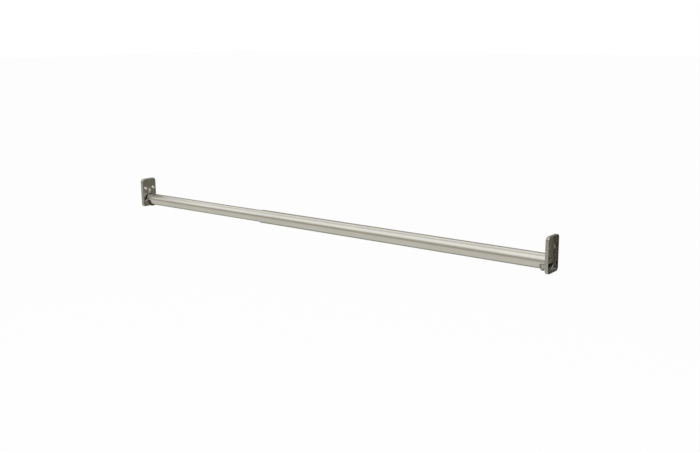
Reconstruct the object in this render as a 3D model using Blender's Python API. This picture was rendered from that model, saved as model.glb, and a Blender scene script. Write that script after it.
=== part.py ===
"""Adjustable closet rod: two telescoping steel tubes carried by a pair of stamped wall flanges.

The rod lies along X. The origin is on the rod's axis, at the wall that the right flange is screwed to.
"""

import math

import bmesh
import bpy

MM = 0.001

# Tubes
OUTER_TUBE_OD = 31.75 * MM
OUTER_TUBE_WALL = 0.8 * MM
OUTER_TUBE_LENGTH = 751.5 * MM
INNER_TUBE_WALL = 0.8 * MM
INNER_TUBE_LENGTH = 736.6 * MM
INNER_TUBE_SHOWN = 405.7 * MM
TELESCOPE_GAP = 0.79 * MM
TUBE_EDGE_BREAK = 0.2 * MM

# Polymer guides between the tubes
BUSH_LENGTH = 25.0 * MM
BUSH_INSET = 1.5 * MM
GLIDE_SPIGOT_LENGTH = 18.0 * MM
GLIDE_SPIGOT_WALL = 1.8 * MM
GLIDE_COLLAR_LENGTH = 4.0 * MM
GLIDE_EDGE_BREAK = 0.4 * MM

# Stamped flange: a shallow pan whose open side meets the wall
SHEET = 1.6 * MM
FLANGE_DEPTH = 7.8 * MM
FLANGE_RISE = 37.0 * MM
FLANGE_SIDE_MARGIN = 2.4 * MM
FLANGE_FOOT_MARGIN = 0.7 * MM
FLANGE_HEAD_CORNER = 8.0 * MM
FLANGE_FOOT_CORNER = 7.0 * MM
FLANGE_BEND = 2.4 * MM

# Half-round saddle under the tube, with a flared lip
SADDLE_LENGTH = 11.6 * MM
SADDLE_TOP = -3.2 * MM
SADDLE_ROOT_ROUND = 1.2 * MM
LIP_LENGTH = 4.5 * MM
LIP_FLARE = 2.2 * MM
LIP_ANGLE = math.radians(60)

# Spring tongue, sheared free on three sides and bowed out to a crown. The thick tube's end presses the right
# one's crown in by the give, and the left one's crown reaches out over the thin tube's end by the overlap
TONGUE_WIDTH = 11.2 * MM
TONGUE_SLIT = 0.6 * MM
TONGUE_TIP_GAP = 2.4 * MM
TONGUE_ROOT_DROP = 22.0 * MM
TONGUE_REACH = 8.0 * MM
TONGUE_CROWN = 4.9 * MM
TONGUE_GIVE = 2.7 * MM
TONGUE_OVERLAP = 1.6 * MM
TONGUE_CORNER = 3.0 * MM
TONGUE_EMBED = 2.0 * MM

# Screw holes, dimpled to take a countersunk head
SCREW_SPACING = 25.6 * MM
SCREW_DROP = 24.0 * MM
SCREW_HOLE = 4.4 * MM
SCREW_HEAD = 10.0 * MM
DIMPLE_DEPTH = 2.8 * MM
DIMPLE_FLOOR = 1.1 * MM
DIMPLE_WALL = 1.0 * MM

# Clearances
SEAT_GAP = 0.3 * MM
PRESS_GAP = 0.1 * MM
RUNNING_GAP = 0.15 * MM

# How far shapes sink into each other where they are joined, and how far a cutter runs past what it cuts
WELD = 0.1 * MM
OVERCUT = 1.0 * MM

# Facets
TUBE_SIDES = 80
HOLE_SIDES = 32
SADDLE_STEPS = 40
CORNER_STEPS = 8
BEND_STEPS = 5
TONGUE_STEPS = 10
SMOOTH_ANGLE = math.radians(35)
QUARTER = math.pi / 2

# Sizes that follow from those above
OUTER_RADIUS = OUTER_TUBE_OD / 2
OUTER_BORE = OUTER_RADIUS - OUTER_TUBE_WALL
INNER_RADIUS = OUTER_BORE - TELESCOPE_GAP
INNER_BORE = INNER_RADIUS - INNER_TUBE_WALL
SADDLE_INSIDE = OUTER_RADIUS + SEAT_GAP
SADDLE_OUTSIDE = SADDLE_INSIDE + SHEET
SADDLE_REACH = SADDLE_OUTSIDE + LIP_FLARE
FLANGE_HALF_WIDTH = SADDLE_REACH + FLANGE_SIDE_MARGIN
FLANGE_FOOT = -SADDLE_REACH - FLANGE_FOOT_MARGIN
FLANGE_HEAD = OUTER_RADIUS + FLANGE_RISE
FLANGE_FLOOR = FLANGE_DEPTH - SHEET
TONGUE_ROOT = FLANGE_HEAD - TONGUE_ROOT_DROP
TONGUE_TIP = OUTER_RADIUS - TONGUE_REACH
TONGUE_SHEET = SHEET - 2 * WELD
SCREW_HEIGHT = FLANGE_HEAD - SCREW_DROP
TONGUE_TO_WALL = FLANGE_DEPTH + TONGUE_CROWN - WELD

# Stations along the rod, from the right wall towards the left one
RIGHT_WALL = 0.0
OUTER_TUBE_END = RIGHT_WALL - TONGUE_TO_WALL + TONGUE_GIVE - SEAT_GAP
OUTER_TUBE_MOUTH = OUTER_TUBE_END - OUTER_TUBE_LENGTH
INNER_TUBE_END = OUTER_TUBE_MOUTH - INNER_TUBE_SHOWN
LEFT_WALL = INNER_TUBE_END - TONGUE_TO_WALL + TONGUE_OVERLAP - SEAT_GAP

# The left flange sits higher on its wall, so that the thinner tube lies level on the floor of its saddle
LEFT_LIFT = SADDLE_INSIDE - INNER_RADIUS - SEAT_GAP


def clear_scene():
    for old in list(bpy.data.objects):
        bpy.data.objects.remove(old)


def finish(name, colour, roughness, metallic):
    material = bpy.data.materials.new(name)
    material.use_nodes = True
    shader = material.node_tree.nodes["Principled BSDF"]
    shader.inputs["Base Color"].default_value = (*colour, 1.0)
    shader.inputs["Roughness"].default_value = roughness
    shader.inputs["Metallic"].default_value = metallic
    return material


def sweep(start, end, steps):
    """Evenly spaced values from start to end, both included."""
    return [start + (end - start) * i / steps for i in range(steps + 1)]


def arc(centre_y, centre_z, radius, start, end, steps):
    turns = sweep(start, end, steps)
    return [(centre_y + radius * math.cos(t), centre_z + radius * math.sin(t)) for t in turns]


def circle(x, radius, sides, centre_y=0.0, centre_z=0.0):
    turns = [2 * math.pi * i / sides for i in range(sides)]
    return [(x, centre_y + radius * math.cos(t), centre_z + radius * math.sin(t)) for t in turns]


def loft(sections, closed=False):
    """A solid skinned over sections of equally many points, its two ends capped or, if closed, joined."""
    form = bmesh.new()
    rows = [[form.verts.new(point) for point in section] for section in sections]
    spans = list(zip(rows, rows[1:]))
    if closed:
        spans.append((rows[-1], rows[0]))
    else:
        form.faces.new(rows[0])
        form.faces.new(rows[-1])
    for near, far in spans:
        for i in range(len(near)):
            form.faces.new((near[i - 1], near[i], far[i], far[i - 1]))
    bmesh.ops.recalc_face_normals(form, faces=form.faces)
    return form


def add_object(name, form, material):
    mesh = bpy.data.meshes.new(name)
    form.to_mesh(mesh)
    form.free()
    mesh.shade_smooth()
    mesh.set_sharp_from_angle(angle=SMOOTH_ANGLE)
    mesh.materials.append(material)
    piece = bpy.data.objects.new(name, mesh)
    bpy.context.scene.collection.objects.link(piece)
    return piece


def turned(name, profile, material):
    """A ring turned about the rod's axis from a closed profile of (x, radius) points."""
    rings = [circle(x, radius, TUBE_SIDES) for x, radius in profile]
    return add_object(name, loft(rings, closed=True), material)


def tube(name, length, outside, bore, material):
    """A tube cut to length from x = 0 along +X, its sharp edges broken."""
    edge = TUBE_EDGE_BREAK
    profile = [
        (edge, outside),
        (length - edge, outside),
        (length, outside - edge),
        (length, bore + edge),
        (length - edge, bore),
        (edge, bore),
        (0.0, bore + edge),
        (0.0, outside - edge),
    ]
    return turned(name, profile, material)


def mouth_bush(material):
    """Thin sleeve from x = 0 along +X, pressed into the outer tube and running on the inner one."""
    outside = OUTER_BORE - PRESS_GAP
    bore = INNER_RADIUS + RUNNING_GAP
    profile = [(0.0, outside), (BUSH_LENGTH, outside), (BUSH_LENGTH, bore), (0.0, bore)]
    return turned("mouth_bush", profile, material)


def end_glide(material):
    """Hollow plug on the inner tube's tail at x = 0: a spigot inside it, and a collar that runs in
    the outer tube."""
    spigot = INNER_BORE - PRESS_GAP
    bore = spigot - GLIDE_SPIGOT_WALL
    collar = OUTER_BORE - RUNNING_GAP
    edge = GLIDE_EDGE_BREAK
    collar_end = SEAT_GAP + GLIDE_COLLAR_LENGTH
    profile = [
        (edge - GLIDE_SPIGOT_LENGTH, spigot),
        (SEAT_GAP, spigot),
        (SEAT_GAP, collar - edge),
        (SEAT_GAP + edge, collar),
        (collar_end - edge, collar),
        (collar_end, collar - edge),
        (collar_end, bore),
        (-GLIDE_SPIGOT_LENGTH, bore),
        (-GLIDE_SPIGOT_LENGTH, spigot - edge),
    ]
    return turned("end_glide", profile, material)


def rounded_outline(x, side, head, foot, head_corner, foot_corner):
    """A rectangle across the rod at x, from -side to side and from foot to head, with rounded corners."""
    corners = [
        (side - head_corner, head - head_corner, head_corner, 0),
        (head_corner - side, head - head_corner, head_corner, 1),
        (foot_corner - side, foot + foot_corner, foot_corner, 2),
        (side - foot_corner, foot + foot_corner, foot_corner, 3),
    ]
    points = []
    for centre_y, centre_z, radius, turn in corners:
        points += arc(centre_y, centre_z, radius, turn * QUARTER, (turn + 1) * QUARTER, CORNER_STEPS)
    return [(x, y, z) for y, z in points]


def pan_section(x, inset):
    """The flange's outline at depth x, moved in from its outer edge."""
    return rounded_outline(
        x,
        FLANGE_HALF_WIDTH - inset,
        FLANGE_HEAD - inset,
        FLANGE_FOOT + inset,
        FLANGE_HEAD_CORNER - inset,
        FLANGE_FOOT_CORNER - inset,
    )


def pan():
    """The dished sheet: from its floor round the inner bend to the rim, then over the outer bend."""

    def bend(radius):
        turns = sweep(0.0, QUARTER, BEND_STEPS)
        start = FLANGE_DEPTH - FLANGE_BEND
        return [(start + radius * math.sin(t), FLANGE_BEND - radius * math.cos(t)) for t in turns]

    inside = bend(FLANGE_BEND - SHEET)
    outside = bend(FLANGE_BEND)
    path = inside[::-1] + [(0.0, SHEET), (0.0, 0.0)] + outside
    return loft([pan_section(x, inset) for x, inset in path])


def half_round(x, radius, top):
    """The part of a disc on the rod's axis that lies below the height top."""
    rise = math.asin(top / radius)
    points = arc(0.0, 0.0, radius, rise, -math.pi - rise, SADDLE_STEPS)
    return [(x, y, z) for y, z in points]


def saddle_path(start, radius):
    """(x, radius) points along one side of the saddle's sheet, from the flange out to the lip."""
    turn = SADDLE_ROOT_ROUND
    root = [
        (start + turn - turn * math.cos(t), radius + turn - turn * math.sin(t))
        for t in sweep(0.0, QUARTER, BEND_STEPS)
    ]
    lip_start = FLANGE_DEPTH + SADDLE_LENGTH - LIP_LENGTH
    lip = [
        (
            lip_start + LIP_LENGTH * math.sin(t) / math.sin(LIP_ANGLE),
            radius + LIP_FLARE * (1 - math.cos(t)) / (1 - math.cos(LIP_ANGLE)),
        )
        for t in sweep(0.0, LIP_ANGLE, BEND_STEPS)
    ]
    return root + lip


def saddle_block():
    """The saddle filled in solid, rooted in the sheet."""
    path = saddle_path(FLANGE_DEPTH, SADDLE_OUTSIDE)
    path.insert(0, (FLANGE_FLOOR + WELD, path[0][1]))
    return loft([half_round(x, radius, SADDLE_TOP) for x, radius in path])


def saddle_bore():
    """What leaves the saddle's wall standing when it is cut from the block and the sheet behind it."""
    path = saddle_path(FLANGE_FLOOR, SADDLE_INSIDE)
    path.insert(0, (FLANGE_FLOOR - OVERCUT, path[0][1]))
    path.append((path[-1][0] + OVERCUT, path[-1][1]))
    return loft([half_round(x, radius, SADDLE_TOP + WELD) for x, radius in path])


def dimple_back(side):
    """The bump that a dimple raises on the wall side of the sheet."""
    tip = FLANGE_DEPTH - DIMPLE_DEPTH - DIMPLE_FLOOR
    path = [(FLANGE_FLOOR + WELD, SCREW_HEAD / 2 + DIMPLE_WALL), (tip, SCREW_HOLE / 2 + DIMPLE_WALL)]
    return loft([circle(x, radius, HOLE_SIDES, side * SCREW_SPACING / 2, SCREW_HEIGHT) for x, radius in path])


def screw_hole(side):
    """The countersink and the hole through it."""
    tip = FLANGE_DEPTH - DIMPLE_DEPTH - DIMPLE_FLOOR
    path = [
        (FLANGE_DEPTH + OVERCUT, SCREW_HEAD / 2),
        (FLANGE_DEPTH, SCREW_HEAD / 2),
        (FLANGE_DEPTH - DIMPLE_DEPTH, SCREW_HOLE / 2),
        (tip - OVERCUT, SCREW_HOLE / 2),
    ]
    return loft([circle(x, radius, HOLE_SIDES, side * SCREW_SPACING / 2, SCREW_HEIGHT) for x, radius in path])


def tongue_window():
    """The opening that the tongue stands in, with a slit on either side and a gap at its tip."""
    size = (
        TONGUE_WIDTH / 2 + TONGUE_SLIT,
        TONGUE_ROOT,
        TONGUE_TIP - TONGUE_TIP_GAP,
        TONGUE_SLIT / 2,
        TONGUE_CORNER + TONGUE_SLIT,
    )
    return loft([rounded_outline(x, *size) for x in (FLANGE_FLOOR - OVERCUT, FLANGE_DEPTH + OVERCUT)])


def bow(z):
    """How far out the tongue is at height z: 0 at its root and its tip, 1 level with the thick tube's top."""
    end = TONGUE_ROOT if z > OUTER_RADIUS else TONGUE_TIP
    share = max((end - z) / (end - OUTER_RADIUS), 0.0)
    return share**2 * (3 - 2 * share)


def tongue_section(z, half_width, crown):
    """The strip at height z, bowed out by up to crown and arched across its width."""
    middle = FLANGE_DEPTH - SHEET / 2
    arch = [
        (middle + crown * bow(z) * (1 - (2 * y / TONGUE_WIDTH) ** 2), y)
        for y in sweep(-half_width, half_width, TONGUE_STEPS)
    ]
    front = [(x + TONGUE_SHEET / 2, y, z) for x, y in arch]
    back = [(x - TONGUE_SHEET / 2, y, z) for x, y in arch]
    return front + back[::-1]


def tongue(crown):
    """The tongue's strip, from inside the sheet above the window down to its rounded tip."""
    half_width = TONGUE_WIDTH / 2
    heights = [TONGUE_ROOT + TONGUE_EMBED] + sweep(TONGUE_ROOT, OUTER_RADIUS, TONGUE_STEPS)
    heights += sweep(OUTER_RADIUS, TONGUE_TIP + TONGUE_CORNER, BEND_STEPS)[1:-1]
    sections = [tongue_section(z, half_width, crown) for z in heights]
    for t in sweep(0.0, QUARTER, BEND_STEPS):
        z = TONGUE_TIP + TONGUE_CORNER * (1 - math.sin(t))
        sections.append(tongue_section(z, half_width - TONGUE_CORNER * (1 - math.cos(t)), crown))
    return loft(sections)


def stamped_flange(name, crown, material):
    """One flange in the left hand place: its rim on the wall at x = 0, its saddle and tongue towards +X.
    The tongue stands out of the sheet by crown."""
    flange = add_object(name, pan(), material)
    tools = [
        ("saddle_block", saddle_block(), "UNION"),
        ("front_dimple", dimple_back(-1), "UNION"),
        ("back_dimple", dimple_back(1), "UNION"),
        ("saddle_bore", saddle_bore(), "DIFFERENCE"),
        ("front_hole", screw_hole(-1), "DIFFERENCE"),
        ("back_hole", screw_hole(1), "DIFFERENCE"),
        ("tongue_window", tongue_window(), "DIFFERENCE"),
        ("tongue", tongue(crown), "UNION"),
    ]
    for tool_name, form, operation in tools:
        tool = add_object(f"{name}.{tool_name}", form, material)
        tool.parent = flange
        tool.hide_render = True
        tool.display_type = "WIRE"
        modifier = flange.modifiers.new(tool_name, "BOOLEAN")
        modifier.object = tool
        modifier.operation = operation
    return flange


def pivot_at(name, x):
    """An empty on the rod's axis, for a piece that turns about it."""
    pivot = bpy.data.objects.new(name, None)
    pivot.location.x = x
    bpy.context.scene.collection.objects.link(pivot)
    return pivot


def closet_rod():
    nickel = finish("satin_nickel", (0.62, 0.59, 0.54), 0.3, 1.0)
    nylon = finish("white_nylon", (0.8, 0.8, 0.78), 0.5, 0.0)

    outer = tube("outer_tube", OUTER_TUBE_LENGTH, OUTER_RADIUS, OUTER_BORE, nickel)
    outer.location.x = OUTER_TUBE_MOUTH
    bush = mouth_bush(nylon)
    bush.parent = outer
    bush.location.x = BUSH_INSET

    inner = tube("inner_tube", INNER_TUBE_LENGTH, INNER_RADIUS, INNER_BORE, nickel)
    inner.location.x = INNER_TUBE_END
    glide = end_glide(nylon)
    glide.parent = inner
    glide.location.x = INNER_TUBE_LENGTH

    right = stamped_flange("right_flange", TONGUE_CROWN - TONGUE_GIVE, nickel)
    right.location.x = RIGHT_WALL
    right.rotation_euler.z = math.pi
    left = stamped_flange("left_flange", TONGUE_CROWN, nickel)
    left.parent = pivot_at("left_turn", LEFT_WALL)
    left.location.z = LEFT_LIFT


clear_scene()
closet_rod()
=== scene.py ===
"""Looks of an adjustable closet rod in satin nickel: two telescoping tubes laid in two stamped wall flanges.

The rod lies along X with its axis through the origin, +Z is up, and the camera stands on the -Y side.
"""

import math

import bmesh
import bpy
from mathutils import Matrix, Vector


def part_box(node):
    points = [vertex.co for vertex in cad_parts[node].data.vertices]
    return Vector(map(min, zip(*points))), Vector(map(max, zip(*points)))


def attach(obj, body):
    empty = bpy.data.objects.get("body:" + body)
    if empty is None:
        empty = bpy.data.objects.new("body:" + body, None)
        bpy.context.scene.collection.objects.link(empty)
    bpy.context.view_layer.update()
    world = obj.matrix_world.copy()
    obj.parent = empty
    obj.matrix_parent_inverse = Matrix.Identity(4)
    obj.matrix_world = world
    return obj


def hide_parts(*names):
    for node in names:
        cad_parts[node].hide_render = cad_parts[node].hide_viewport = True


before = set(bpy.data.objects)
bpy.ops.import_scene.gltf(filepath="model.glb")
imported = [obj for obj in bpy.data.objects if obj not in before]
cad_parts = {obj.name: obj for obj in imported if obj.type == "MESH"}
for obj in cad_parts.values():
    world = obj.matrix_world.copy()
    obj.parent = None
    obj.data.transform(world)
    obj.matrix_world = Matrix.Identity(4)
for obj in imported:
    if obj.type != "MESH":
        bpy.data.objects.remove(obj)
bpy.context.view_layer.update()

MM = 0.001
QUARTER = math.pi / 2

# Tubes and the polymer guides between them
TUBE_WALL = 0.8 * MM
TUBE_EDGE = 0.25 * MM
BUSH_EDGE = 0.15 * MM
GLIDE_EDGE = 0.3 * MM
RUNNING_GAP = 0.15 * MM
PRESS_GAP = 0.1 * MM
SPIGOT_WALL = 1.8 * MM
COLLAR_LENGTH = 4.0 * MM

# Stamped flange
SHEET = 1.6 * MM
FLANGE_DEPTH = 7.8 * MM
FLANGE_HEAD_CORNER = 8.0 * MM
FLANGE_FOOT_CORNER = 7.0 * MM
FLANGE_BEND = 2.4 * MM
FLANGE_FLOOR = FLANGE_DEPTH - SHEET
SHEET_EDGE = 0.25 * MM

# Half-round saddle
SEAT_GAP = 0.3 * MM
SADDLE_LENGTH = 11.6 * MM
SADDLE_TOP = -3.2 * MM
SADDLE_ROOT_ROUND = 1.2 * MM
LIP_LENGTH = 4.5 * MM
LIP_FLARE = 2.2 * MM
LIP_ANGLE = math.radians(60)
LIP_EDGE = 0.5 * MM

# Spring tongue
TONGUE_WIDTH = 11.2 * MM
TONGUE_SLIT = 0.6 * MM
TONGUE_TIP_GAP = 2.4 * MM
TONGUE_ROOT_DROP = 22.0 * MM
TONGUE_REACH = 8.0 * MM
TONGUE_CROWN = 4.9 * MM
TONGUE_GIVE = 2.7 * MM
TONGUE_CORNER = 3.0 * MM
TONGUE_EMBED = 2.0 * MM

# Dimpled screw holes
SCREW_SPACING = 25.6 * MM
SCREW_DROP = 24.0 * MM
SCREW_HOLE = 4.4 * MM
SCREW_HEAD = 10.0 * MM
DIMPLE_DEPTH = 2.8 * MM
DIMPLE_FLOOR = 1.1 * MM
DIMPLE_WALL = 1.0 * MM
DIMPLE_ROLL = 0.8 * MM
DIMPLE_ROLL_DEPTH = 0.3 * MM

# How far joined shapes sink into each other, and how far a cutter runs past what it cuts
WELD = 0.02 * MM
OVERCUT = 1.0 * MM

# Facets
TUBE_SIDES = 192
HOLE_SIDES = 64
SADDLE_STEPS = 96
CORNER_STEPS = 14
BEND_STEPS = 8
EDGE_STEPS = 3
TONGUE_STEPS = 20
SMOOTH_ANGLE = math.radians(40)

# The photograph's camera
PICTURE_WIDTH = 700
FOCAL_PIXELS = 926.1
SENSOR_WIDTH = 36.0
CAMERA_PLACE = Vector((0.7500, -1.5997, 0.4447))
CAMERA_TURN = math.radians(37.861)
CAMERA_DIP = math.radians(12.124)
CAMERA_ROLL = math.radians(-0.464)

# The part of a noise's range that holds most of its values
NOISE_LOW = 0.25
NOISE_HIGH = 0.75

# White floor and room
WHITE = "#ffffff"
FLOOR_HEIGHT = -0.9
FLOOR_SIZE = 80.0
FLOOR_COLOUR = "#f6f6f4"
FLOOR_GLOW = 0.94
AMBIENT_LEVEL = 0.75

# Lamps: two long ones over the rod, and one beyond its right end that lights the left flange
LAMP_COLOUR = "#ebf3ff"
LAMP_LENGTH = 5.6
FRONT_LAMP_DISTANCE = 1.6
FRONT_LAMP_ANGLE = math.radians(53)
FRONT_LAMP_WIDTH = 1.23
FRONT_LAMP_LEVEL = 0.66
BACK_LAMP_DISTANCE = 1.7
BACK_LAMP_ANGLE = math.radians(113)
BACK_LAMP_WIDTH = 0.78
BACK_LAMP_LEVEL = 0.55
RIGHT_LAMP_PLACE = (0.55, 0.10, 1.25)
RIGHT_LAMP_LENGTH = 2.2
RIGHT_LAMP_WIDTH = 1.0
RIGHT_LAMP_LEVEL = 0.75

# Grey cards that the metal mirrors: two along the rod, and two that stand round its right end
CARD_LIFT = 0.01
CARD_FOOT = FLOOR_HEIGHT + CARD_LIFT
CARD_START = -6.0
CARD_LENGTH = 9.8
FRONT_CARD_COLOUR = "#c8c5bb"
FRONT_CARD_Y = -2.2
FRONT_CARD_LOW = -0.33
FRONT_CARD_TOP = 0.74
BACK_CARD_COLOUR = "#b4b1a8"
BACK_CARD_NEAR_Y = 0.14
BACK_CARD_FAR_Y = 2.2
BACK_CARD_TOP = 2.5
SIDE_CARD_HEIGHT = 1.4
SIDE_CARDS_MEET = (0.35, 1.18)
LEFT_SIDE_COLOUR = "#aca89c"
LEFT_SIDE_FOOT = [(-0.15, 1.58), SIDE_CARDS_MEET]
RIGHT_SIDE_COLOUR = "#8e8a7f"
RIGHT_SIDE_FOOT = [SIDE_CARDS_MEET, (1.05, 0.62), (0.40, -0.10), (0.22, -0.55)]

# Sizes read from the frame
OUTER_LOW, OUTER_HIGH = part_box("outer_tube")
INNER_LOW, INNER_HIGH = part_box("inner_tube")
BUSH_LOW, BUSH_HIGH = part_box("mouth_bush")
GLIDE_LOW, GLIDE_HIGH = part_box("end_glide")
RIGHT_LOW, RIGHT_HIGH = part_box("right_flange")
LEFT_LOW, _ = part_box("left_flange")
OUTER_RADIUS = OUTER_HIGH.z
INNER_RADIUS = INNER_HIGH.z
OUTER_BORE = OUTER_RADIUS - TUBE_WALL
INNER_BORE = INNER_RADIUS - TUBE_WALL
FLANGE_SIDE = RIGHT_HIGH.y
FLANGE_HEAD = RIGHT_HIGH.z
FLANGE_FOOT = RIGHT_LOW.z
LEFT_LIFT = LEFT_LOW.z - RIGHT_LOW.z

# Sizes that follow from those above
ROD_MIDDLE = (OUTER_HIGH.x + INNER_LOW.x) / 2
SADDLE_INSIDE = OUTER_RADIUS + SEAT_GAP
SADDLE_OUTSIDE = SADDLE_INSIDE + SHEET
TONGUE_ROOT = FLANGE_HEAD - TONGUE_ROOT_DROP
TONGUE_TIP = OUTER_RADIUS - TONGUE_REACH
TONGUE_SHEET = SHEET - 2 * WELD
SCREW_HEIGHT = FLANGE_HEAD - SCREW_DROP
DIMPLE_TIP = FLANGE_DEPTH - DIMPLE_DEPTH - DIMPLE_FLOOR


def linear(hex_colour):
    """An sRGB hex value as the linear red, green, blue and alpha that a shader takes."""
    shares = [int(hex_colour[i : i + 2], 16) / 255 for i in (1, 3, 5)]
    return [c / 12.92 if c <= 0.04045 else ((c + 0.055) / 1.055) ** 2.4 for c in shares] + [1.0]


def add_node(tree, kind, inputs=(), **settings):
    """One shader node with its settings, and for each named input a value or the output that feeds it."""
    made = tree.nodes.new("ShaderNode" + kind)
    for setting, value in settings.items():
        setattr(made, setting, value)
    for socket, value in dict(inputs).items():
        if isinstance(value, bpy.types.NodeSocket):
            tree.links.new(value, made.inputs[socket])
        else:
            made.inputs[socket].default_value = value
    return made


def new_material(name):
    material = bpy.data.materials.new(name)
    material.use_nodes = True
    material.node_tree.nodes.clear()
    return material


def grain(tree, across):
    """Noise whose patches measure across, in metres along X, Y and Z, so unlike sizes make streaks."""
    place = add_node(tree, "TexCoord").outputs["Object"]
    scaled = add_node(tree, "Mapping", {"Vector": place, "Scale": [1 / size for size in across]})
    noise = add_node(tree, "TexNoise", {"Vector": scaled.outputs[0], "Scale": 1.0, "Detail": 2.0})
    return noise.outputs["Fac"]


def between(tree, noise, low, high):
    """A number that runs from low to high with the middle half of a noise."""
    limits = {
        "Value": noise,
        "From Min": NOISE_LOW,
        "From Max": NOISE_HIGH,
        "To Min": low,
        "To Max": high,
    }
    return add_node(tree, "MapRange", limits).outputs[0]


def worked_metal(name, light, dark, clouds, streaks, roughness, ripple):
    """Metal with a cloudy colour, and with streaks from its working that vary its gloss and ripple it."""
    material = new_material(name)
    tree = material.node_tree
    tint = between(tree, grain(tree, clouds), 0.0, 1.0)
    colour = add_node(tree, "MixRGB", {"Fac": tint, "Color1": linear(light), "Color2": linear(dark)})
    streak = grain(tree, streaks)
    bump = add_node(tree, "Bump", {"Height": streak, "Distance": ripple, "Strength": 1.0})
    shader = add_node(
        tree,
        "BsdfPrincipled",
        {
            "Base Color": colour.outputs[0],
            "Metallic": 1.0,
            "Roughness": between(tree, streak, *roughness),
            "Normal": bump.outputs[0],
        },
    )
    add_node(tree, "OutputMaterial", {"Surface": shader.outputs[0]})
    return material


def satin_nickel_on_drawn_tube():
    # Drawn steel tube, belt-polished round and round and plated: a warm grey mirror, a little blurred, with
    # faint rings. Real belt marks are under 0.1 mm wide, so they are drawn 1.5 mm wide to show at all.
    return worked_metal(
        "satin_nickel_on_drawn_tube",
        light="#bdbaaf",
        dark="#b7b4a9",
        clouds=(60 * MM, 25 * MM, 25 * MM),
        streaks=(1.5 * MM, 40 * MM, 40 * MM),
        roughness=(0.22, 0.28),
        ripple=0.0004 * MM,
    )


def satin_nickel_on_stamped_sheet():
    # Pressed steel sheet, tumbled and plated: duller than the tube, and its flats reflect a little wavily
    # from the press. Tumbling grain is finer than 0.2 mm, so it is drawn 1.2 mm wide to show at all.
    return worked_metal(
        "satin_nickel_on_stamped_sheet",
        light="#a19f95",
        dark="#95938a",
        clouds=(14 * MM, 14 * MM, 14 * MM),
        streaks=(1.2 * MM, 1.2 * MM, 1.2 * MM),
        roughness=(0.24, 0.34),
        ripple=0.004 * MM,
    )


def bare_steel_with_painted_shade_in_bore():
    # Plating doesn't reach far into a tube, so its bore keeps the dull mill finish, with drawing lines along
    # it. Its colour is also made far darker than bare steel, as painted shade deep inside the bore. Real
    # lines are about 0.05 mm wide and are drawn 1 mm wide.
    return worked_metal(
        "bare_steel_with_painted_shade_in_bore",
        light="#44413c",
        dark="#33312d",
        clouds=(80 * MM, 8 * MM, 8 * MM),
        streaks=(60 * MM, 1 * MM, 1 * MM),
        roughness=(0.32, 0.42),
        ripple=0.01 * MM,
    )


def moulded_nylon():
    # Nylon from a spark-eroded mould: milky white with soft flow clouds and a fine satin pitting, which is
    # about 0.1 mm wide and is drawn 0.5 mm wide.
    light = linear("#ebe9e2")
    dark = linear("#e0ddd3")
    cloud = 9 * MM
    pit = 0.5 * MM
    pit_depth = 0.02 * MM
    material = new_material("moulded_nylon")
    tree = material.node_tree
    flow = between(tree, grain(tree, (cloud, cloud, cloud)), 0.0, 1.0)
    colour = add_node(tree, "MixRGB", {"Fac": flow, "Color1": light, "Color2": dark})
    pits = grain(tree, (pit, pit, pit))
    bump = add_node(tree, "Bump", {"Height": pits, "Distance": pit_depth, "Strength": 1.0})
    shader = add_node(
        tree,
        "BsdfPrincipled",
        {
            "Base Color": colour.outputs[0],
            "Roughness": between(tree, pits, 0.4, 0.55),
            "IOR": 1.53,
            "Normal": bump.outputs[0],
        },
    )
    add_node(tree, "OutputMaterial", {"Surface": shader.outputs[0]})
    return material


def sweep(start, end, steps):
    """Evenly spaced values from start to end, both included."""
    return [start + (end - start) * i / steps for i in range(steps + 1)]


def arc(centre_y, centre_z, radius, start, end, steps):
    turns = sweep(start, end, steps)
    return [(centre_y + radius * math.cos(t), centre_z + radius * math.sin(t)) for t in turns]


def circle(x, radius, sides, centre_y=0.0, centre_z=0.0):
    turns = [2 * math.pi * i / sides for i in range(sides)]
    return [(x, centre_y + radius * math.cos(t), centre_z + radius * math.sin(t)) for t in turns]


def eased(before, corner, after, reach):
    """A corner of a flat profile rounded off, starting reach away from it on either side."""
    corner = Vector(corner)
    start = corner + (Vector(before) - corner).normalized() * reach
    end = corner + (Vector(after) - corner).normalized() * reach
    return [
        tuple(start * (1 - t) ** 2 + corner * 2 * t * (1 - t) + end * t**2) for t in sweep(0, 1, EDGE_STEPS)
    ]


def eased_loop(corners, reach):
    """A closed profile with every corner rounded off."""
    points = []
    for i, corner in enumerate(corners):
        points += eased(corners[i - 1], corner, corners[(i + 1) % len(corners)], reach)
    return points


def loft(sections, closed=False):
    """A solid skinned over sections of equally many points, its two ends capped or, if closed, joined."""
    form = bmesh.new()
    rows = [[form.verts.new(point) for point in section] for section in sections]
    spans = list(zip(rows, rows[1:]))
    if closed:
        spans.append((rows[-1], rows[0]))
    else:
        form.faces.new(rows[0])
        form.faces.new(rows[-1])
    for near, far in spans:
        for i in range(len(near)):
            form.faces.new((near[i - 1], near[i], far[i], far[i - 1]))
    bmesh.ops.recalc_face_normals(form, faces=form.faces)
    return form


def add_piece(name, form, *materials):
    mesh = bpy.data.meshes.new(name)
    form.to_mesh(mesh)
    form.free()
    mesh.shade_smooth()
    mesh.set_sharp_from_angle(angle=SMOOTH_ANGLE)
    for material in materials:
        mesh.materials.append(material)
    piece = bpy.data.objects.new(name, mesh)
    bpy.context.scene.collection.objects.link(piece)
    return piece


def turned(corners, edge):
    """A ring turned about the rod's axis from its profile's (x, radius) corners, with eased edges."""
    return loft([circle(x, radius, TUBE_SIDES) for x, radius in eased_loop(corners, edge)], closed=True)


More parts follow.
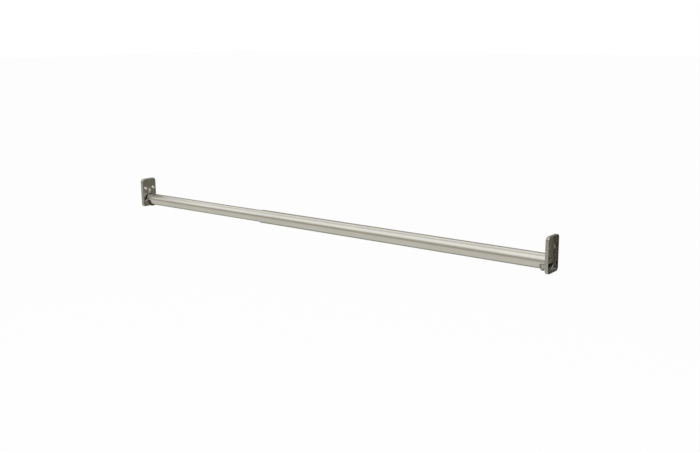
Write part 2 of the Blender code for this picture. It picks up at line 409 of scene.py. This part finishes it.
def plated_tube(name, low, high, bore, plate, bare_steel_and_painted_shade):
    """A cut length of tube: plated outside and on its cut ends, bare inside, where painted shade darkens its
    bore.
    """
    corners = [(low.x, high.z), (high.x, high.z), (high.x, bore), (low.x, bore)]
    form = turned(corners, TUBE_EDGE)
    for face in form.faces:
        middle = face.calc_center_median()
        face.material_index = int(math.hypot(middle.y, middle.z) < bore + TUBE_EDGE / 2)
    return add_piece(name, form, plate, bare_steel_and_painted_shade)


def moulded_bush(nylon):
    """The sleeve in the outer tube's mouth."""
    outside = BUSH_HIGH.z
    bore = INNER_RADIUS + RUNNING_GAP
    corners = [(BUSH_LOW.x, outside), (BUSH_HIGH.x, outside), (BUSH_HIGH.x, bore), (BUSH_LOW.x, bore)]
    return add_piece("moulded_bush", turned(corners, BUSH_EDGE), nylon)


def moulded_glide(nylon):
    """The plug in the inner tube's hidden end, with the collar that runs in the outer tube."""
    spigot = INNER_BORE - PRESS_GAP
    bore = spigot - SPIGOT_WALL
    collar = GLIDE_HIGH.z
    collar_start = GLIDE_HIGH.x - COLLAR_LENGTH
    corners = [
        (GLIDE_LOW.x, spigot),
        (collar_start, spigot),
        (collar_start, collar),
        (GLIDE_HIGH.x, collar),
        (GLIDE_HIGH.x, bore),
        (GLIDE_LOW.x, bore),
    ]
    return add_piece("moulded_glide", turned(corners, GLIDE_EDGE), nylon)


def rounded_outline(x, side, head, foot, head_corner, foot_corner):
    """A rectangle across the rod at x, from -side to side and from foot to head, with rounded corners."""
    corners = [
        (side - head_corner, head - head_corner, head_corner, 0),
        (head_corner - side, head - head_corner, head_corner, 1),
        (foot_corner - side, foot + foot_corner, foot_corner, 2),
        (side - foot_corner, foot + foot_corner, foot_corner, 3),
    ]
    points = []
    for centre_y, centre_z, radius, turn in corners:
        points += arc(centre_y, centre_z, radius, turn * QUARTER, (turn + 1) * QUARTER, CORNER_STEPS)
    return [(x, y, z) for y, z in points]


def pan_section(x, inset):
    """The flange's outline at depth x, moved in from its outer edge."""
    return rounded_outline(
        x,
        FLANGE_SIDE - inset,
        FLANGE_HEAD - inset,
        FLANGE_FOOT + inset,
        FLANGE_HEAD_CORNER - inset,
        FLANGE_FOOT_CORNER - inset,
    )


def pan():
    """The dished sheet: from its floor round the inner bend to the eased rim, then over the outer bend."""

    def bend(radius):
        turns = sweep(0.0, QUARTER, BEND_STEPS)
        start = FLANGE_DEPTH - FLANGE_BEND
        return [(start + radius * math.sin(t), FLANGE_BEND - radius * math.cos(t)) for t in turns]

    inside = bend(FLANGE_BEND - SHEET)
    outside = bend(FLANGE_BEND)
    rim_inside, rim_outside = (0.0, SHEET), (0.0, 0.0)
    rim = eased(inside[0], rim_inside, rim_outside, SHEET_EDGE)
    rim += eased(rim_inside, rim_outside, outside[0], SHEET_EDGE)
    return loft([pan_section(x, inset) for x, inset in inside[::-1] + rim + outside])


def half_round(x, radius, top):
    """The part of a disc on the rod's axis that lies below the height top."""
    rise = math.asin(top / radius)
    points = arc(0.0, 0.0, radius, rise, -math.pi - rise, SADDLE_STEPS)
    return [(x, y, z) for y, z in points]


def saddle_path(start, radius):
    """(x, radius) points along one side of the saddle's sheet, from the flange out to the lip."""
    turn = SADDLE_ROOT_ROUND
    root = [
        (start + turn - turn * math.cos(t), radius + turn - turn * math.sin(t))
        for t in sweep(0.0, QUARTER, BEND_STEPS)
    ]
    lip_start = FLANGE_DEPTH + SADDLE_LENGTH - LIP_LENGTH
    lip = [
        (
            lip_start + LIP_LENGTH * math.sin(t) / math.sin(LIP_ANGLE),
            radius + LIP_FLARE * (1 - math.cos(t)) / (1 - math.cos(LIP_ANGLE)),
        )
        for t in sweep(0.0, LIP_ANGLE, BEND_STEPS)
    ]
    return root + lip


def saddle_block():
    """The saddle filled in solid, rooted in the sheet, the outer edge of its lip eased."""
    path = saddle_path(FLANGE_DEPTH, SADDLE_OUTSIDE)
    path.insert(0, (FLANGE_FLOOR + WELD, path[0][1]))
    lip = path.pop()
    path += eased(path[-1], lip, (lip[0], 0.0), LIP_EDGE)
    return loft([half_round(x, radius, SADDLE_TOP) for x, radius in path])


def saddle_bore():
    """What leaves the saddle's wall standing when it is cut from the block and the sheet behind it."""
    path = saddle_path(FLANGE_FLOOR, SADDLE_INSIDE)
    path.insert(0, (FLANGE_FLOOR - OVERCUT, path[0][1]))
    lip = path.pop()
    path += eased(path[-1], lip, (lip[0], lip[1] + SHEET), LIP_EDGE)
    path.append((lip[0] + OVERCUT, lip[1] + LIP_EDGE + OVERCUT))
    return loft([half_round(x, radius, SADDLE_TOP + WELD) for x, radius in path])


def round_at_hole(side, path):
    """A round solid on a screw hole's axis, over (x, radius) points."""
    return loft([circle(x, radius, HOLE_SIDES, side * SCREW_SPACING / 2, SCREW_HEIGHT) for x, radius in path])


def dimple_back(side):
    """The bump that a dimple raises on the wall side of the sheet."""
    root = (FLANGE_FLOOR + WELD, SCREW_HEAD / 2 + DIMPLE_WALL)
    crest = (DIMPLE_TIP, SCREW_HOLE / 2 + DIMPLE_WALL)
    return round_at_hole(side, [root] + eased(root, crest, (DIMPLE_TIP, 0.0), DIMPLE_WALL / 2))


def screw_hole(side):
    """The countersink, rolled over at its rim, and the hole through it."""
    roll = Vector((DIMPLE_ROLL_DEPTH, DIMPLE_ROLL))
    rim = Vector((FLANGE_DEPTH, SCREW_HEAD / 2))
    path = [
        rim + 2 * roll,
        rim + roll - Vector((DIMPLE_ROLL_DEPTH, 0.0)),
        rim - Vector((DIMPLE_ROLL_DEPTH, 0.0)),
        (FLANGE_DEPTH - DIMPLE_DEPTH, SCREW_HOLE / 2),
        (DIMPLE_TIP - OVERCUT, SCREW_HOLE / 2),
    ]
    return round_at_hole(side, path)


def tongue_window():
    """The opening that the tongue stands in, with a slit on either side, a gap at its tip and eased edges."""

    def outline(x, ease):
        return rounded_outline(
            x,
            TONGUE_WIDTH / 2 + TONGUE_SLIT + ease,
            TONGUE_ROOT + ease,
            TONGUE_TIP - TONGUE_TIP_GAP - ease,
            TONGUE_SLIT / 2 + ease,
            TONGUE_CORNER + TONGUE_SLIT + ease,
        )

    edge = SHEET_EDGE
    path = [
        (FLANGE_FLOOR - edge, 2 * edge),
        (FLANGE_FLOOR + edge, 0.0),
        (FLANGE_DEPTH - edge, 0.0),
        (FLANGE_DEPTH + edge, 2 * edge),
    ]
    return loft([outline(x, ease) for x, ease in path])


def bow(z):
    """How far out the tongue is at height z: 0 at its root and its tip, 1 level with the thick tube's top."""
    end = TONGUE_ROOT if z > OUTER_RADIUS else TONGUE_TIP
    share = max((end - z) / (end - OUTER_RADIUS), 0.0)
    return share**2 * (3 - 2 * share)


def tongue_section(z, half_width, crown):
    """The strip at height z, bowed out by up to crown and arched across its width, its sides eased."""

    def arched(y, off):
        rise = crown * bow(z) * (1 - (2 * y / TONGUE_WIDTH) ** 2)
        return (FLANGE_DEPTH - SHEET / 2 + rise + off, y, z)

    half = TONGUE_SHEET / 2
    flat = half_width - SHEET_EDGE
    across = sweep(-flat, flat, TONGUE_STEPS)
    front = [arched(y, half) for y in across]
    back = [arched(y, -half) for y in across[::-1]]
    far_side = [arched(half_width, half - SHEET_EDGE), arched(half_width, SHEET_EDGE - half)]
    near_side = [arched(-half_width, SHEET_EDGE - half), arched(-half_width, half - SHEET_EDGE)]
    return front + far_side + back + near_side


def tongue(crown):
    """The tongue's strip, from inside the sheet above the window down to its rounded tip."""
    half_width = TONGUE_WIDTH / 2
    heights = [TONGUE_ROOT + TONGUE_EMBED] + sweep(TONGUE_ROOT + SHEET_EDGE, OUTER_RADIUS, TONGUE_STEPS)
    heights += sweep(OUTER_RADIUS, TONGUE_TIP + TONGUE_CORNER, TONGUE_STEPS)[1:-1]
    sections = [tongue_section(z, half_width, crown) for z in heights]
    for t in sweep(0.0, QUARTER, CORNER_STEPS):
        z = TONGUE_TIP + TONGUE_CORNER * (1 - math.sin(t))
        sections.append(tongue_section(z, half_width - TONGUE_CORNER * (1 - math.cos(t)), crown))
    return loft(sections)


def stamped_flange(name, crown, plate):
    """One flange with its rim on the wall at x = 0, and its saddle and tongue towards +X.

    The tongue stands out of the sheet by crown.
    """
    flange = add_piece(name, pan(), plate)
    steps = [
        (saddle_block(), "UNION"),
        (dimple_back(-1), "UNION"),
        (dimple_back(1), "UNION"),
        (saddle_bore(), "DIFFERENCE"),
        (screw_hole(-1), "DIFFERENCE"),
        (screw_hole(1), "DIFFERENCE"),
        (tongue_window(), "DIFFERENCE"),
        (tongue(crown), "UNION"),
    ]
    tools = []
    for form, operation in steps:
        tool = add_piece("press_tool", form, plate)
        stroke = flange.modifiers.new("stroke", "BOOLEAN")
        stroke.object = tool
        stroke.operation = operation
        tools.append(tool)
    pressed = flange.evaluated_get(bpy.context.evaluated_depsgraph_get())
    flange.data = bpy.data.meshes.new_from_object(pressed)
    flange.modifiers.clear()
    for tool in tools:
        bpy.data.objects.remove(tool)
    flange.data.shade_smooth()
    flange.data.set_sharp_from_angle(angle=SMOOTH_ANGLE)
    flats_first = flange.modifiers.new("flats_first", "WEIGHTED_NORMAL")
    flats_first.keep_sharp = True
    return flange


def dress(piece, node, body):
    """The piece stands for a node of the frame and moves with its body."""
    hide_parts(node)
    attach(piece, body)


def dress_rod():
    tube_plate = satin_nickel_on_drawn_tube()
    sheet_plate = satin_nickel_on_stamped_sheet()
    # The tubes' bore: bare steel, its colour darkened as painted shade
    bare_steel_and_painted_shade = bare_steel_with_painted_shade_in_bore()
    nylon = moulded_nylon()

    outer = plated_tube("plated_outer_tube", OUTER_LOW, OUTER_HIGH, OUTER_BORE, tube_plate, bare_steel_and_painted_shade)
    dress(outer, "outer_tube", "outer_tube")
    inner = plated_tube("plated_inner_tube", INNER_LOW, INNER_HIGH, INNER_BORE, tube_plate, bare_steel_and_painted_shade)
    dress(inner, "inner_tube", "inner_tube")
    dress(moulded_bush(nylon), "mouth_bush", "outer_tube")
    dress(moulded_glide(nylon), "end_glide", "inner_tube")

    right = stamped_flange("plated_right_flange", TONGUE_CROWN - TONGUE_GIVE, sheet_plate)
    right.matrix_world = Matrix.Translation((RIGHT_HIGH.x, 0.0, 0.0)) @ Matrix.Rotation(math.pi, 4, "Z")
    dress(right, "right_flange", "right_flange")
    left = stamped_flange("plated_left_flange", TONGUE_CROWN, sheet_plate)
    left.matrix_world = Matrix.Translation((LEFT_LOW.x, 0.0, LEFT_LIFT))
    dress(left, "left_flange", "left_flange")


def seen_directly(tree):
    """1 for what the camera sees, also in metal and through glass, and 0 for light on dull surfaces."""
    rays = add_node(tree, "LightPath").outputs
    seen = rays["Is Camera Ray"]
    for kind in ("Is Glossy Ray", "Is Transmission Ray"):
        seen = add_node(tree, "Math", {0: seen, 1: rays[kind]}, operation="MAXIMUM").outputs[0]
    return seen


def white_room():
    """A white background, with a plain grey level of light from all round."""
    world = bpy.data.worlds.new("white_room")
    world.use_nodes = True
    tree = world.node_tree
    tree.nodes.clear()
    ambient = add_node(tree, "Background", {"Color": linear(WHITE), "Strength": AMBIENT_LEVEL})
    white = add_node(tree, "Background", {"Color": linear(WHITE), "Strength": 1.0})
    mix = add_node(tree, "MixShader", {0: seen_directly(tree), 1: ambient.outputs[0], 2: white.outputs[0]})
    add_node(tree, "OutputWorld", {"Surface": mix.outputs[0]})
    bpy.context.scene.world = world


def flat_panel(name, corners, material):
    mesh = bpy.data.meshes.new(name)
    mesh.from_pydata(corners, [], [range(len(corners))])
    mesh.materials.append(material)
    panel = bpy.data.objects.new(name, mesh)
    bpy.context.scene.collection.objects.link(panel)
    return panel


def pale_floor():
    """A white floor that keeps part of the rod's shadow."""
    material = new_material("white_studio_paper")
    tree = material.node_tree
    paper = add_node(tree, "BsdfDiffuse", {"Color": linear(FLOOR_COLOUR)})
    glow = add_node(tree, "Emission", {"Color": linear(WHITE), "Strength": 1.0})
    share = add_node(tree, "Math", {0: seen_directly(tree), 1: FLOOR_GLOW}, operation="MULTIPLY")
    mix = add_node(tree, "MixShader", {0: share.outputs[0], 1: paper.outputs[0], 2: glow.outputs[0]})
    add_node(tree, "OutputMaterial", {"Surface": mix.outputs[0]})
    reach = FLOOR_SIZE / 2
    corners = [(-reach, -reach), (reach, -reach), (reach, reach), (-reach, reach)]
    flat_panel("studio_floor", [(x, y, FLOOR_HEIGHT) for x, y in corners], material)


def grey_card(name, colour, edge, way):
    """A card folded at the points of one edge and reaching from them by way, seen in reflections only."""
    material = new_material(name)
    tree = material.node_tree
    shade = add_node(tree, "Emission", {"Color": linear(colour), "Strength": 1.0})
    add_node(tree, "OutputMaterial", {"Surface": shade.outputs[0]})
    across = Vector(way)
    points = [Vector(point) for point in edge]
    for near, far in zip(points, points[1:]):
        card = flat_panel(name, [near, far, far + across, near + across], material)
        card.visible_camera = False
        card.visible_diffuse = False
        card.visible_shadow = False


def softbox(name, place, lit_x, length, width, level):
    """A lamp that faces the rod's axis at lit_x and looks level times as bright as white."""
    lamp = bpy.data.lights.new(name, "AREA")
    lamp.shape = "RECTANGLE"
    lamp.size = length
    lamp.size_y = width
    lamp.color = linear(LAMP_COLOUR)[:3]
    lamp.energy = level * math.pi * length * width
    box = bpy.data.objects.new(name, lamp)
    box.location = place
    aim = Vector((lit_x, 0.0, 0.0)) - box.location
    box.rotation_euler = aim.to_track_quat("-Z", "Y").to_euler()
    box.visible_camera = False
    bpy.context.scene.collection.objects.link(box)


def over_rod(distance, angle):
    """A place at the rod's middle, distance from its axis and angle up from the camera's side."""
    return (ROD_MIDDLE, -distance * math.cos(angle), distance * math.sin(angle))


def lamps():
    front = over_rod(FRONT_LAMP_DISTANCE, FRONT_LAMP_ANGLE)
    softbox("front_softbox", front, ROD_MIDDLE, LAMP_LENGTH, FRONT_LAMP_WIDTH, FRONT_LAMP_LEVEL)
    back = over_rod(BACK_LAMP_DISTANCE, BACK_LAMP_ANGLE)
    softbox("back_softbox", back, ROD_MIDDLE, LAMP_LENGTH, BACK_LAMP_WIDTH, BACK_LAMP_LEVEL)
    right = RIGHT_LAMP_PLACE
    softbox("right_softbox", right, INNER_LOW.x, RIGHT_LAMP_LENGTH, RIGHT_LAMP_WIDTH, RIGHT_LAMP_LEVEL)


def cards():
    along = (CARD_LENGTH, 0.0, 0.0)
    front = [(FRONT_CARD_Y, FRONT_CARD_LOW), (FRONT_CARD_Y, FRONT_CARD_TOP)]
    grey_card("front_card", FRONT_CARD_COLOUR, [(CARD_START, y, z) for y, z in front], along)
    back = [(BACK_CARD_NEAR_Y, CARD_FOOT), (BACK_CARD_FAR_Y, CARD_FOOT), (BACK_CARD_FAR_Y, BACK_CARD_TOP)]
    grey_card("back_card", BACK_CARD_COLOUR, [(CARD_START, y, z) for y, z in back], along)
    up = (0.0, 0.0, SIDE_CARD_HEIGHT)
    grey_card("left_side_card", LEFT_SIDE_COLOUR, [(x, y, CARD_FOOT) for x, y in LEFT_SIDE_FOOT], up)
    grey_card("right_side_card", RIGHT_SIDE_COLOUR, [(x, y, CARD_FOOT) for x, y in RIGHT_SIDE_FOOT], up)


def studio():
    white_room()
    pale_floor()
    lamps()
    cards()


def photo_camera():
    lens = bpy.data.cameras.new("photo_camera")
    lens.sensor_width = SENSOR_WIDTH
    lens.lens = FOCAL_PIXELS / PICTURE_WIDTH * SENSOR_WIDTH
    camera = bpy.data.objects.new("photo_camera", lens)
    turn = Matrix.Rotation(CAMERA_TURN, 4, "Z")
    dip = Matrix.Rotation(QUARTER - CAMERA_DIP, 4, "X")
    roll = Matrix.Rotation(CAMERA_ROLL, 4, "Z")
    camera.matrix_world = Matrix.Translation(CAMERA_PLACE) @ turn @ dip @ roll
    bpy.context.scene.collection.objects.link(camera)
    bpy.context.scene.camera = camera


photo_camera()
dress_rod()
studio()
bpy.context.scene.view_settings.view_transform = "Standard"
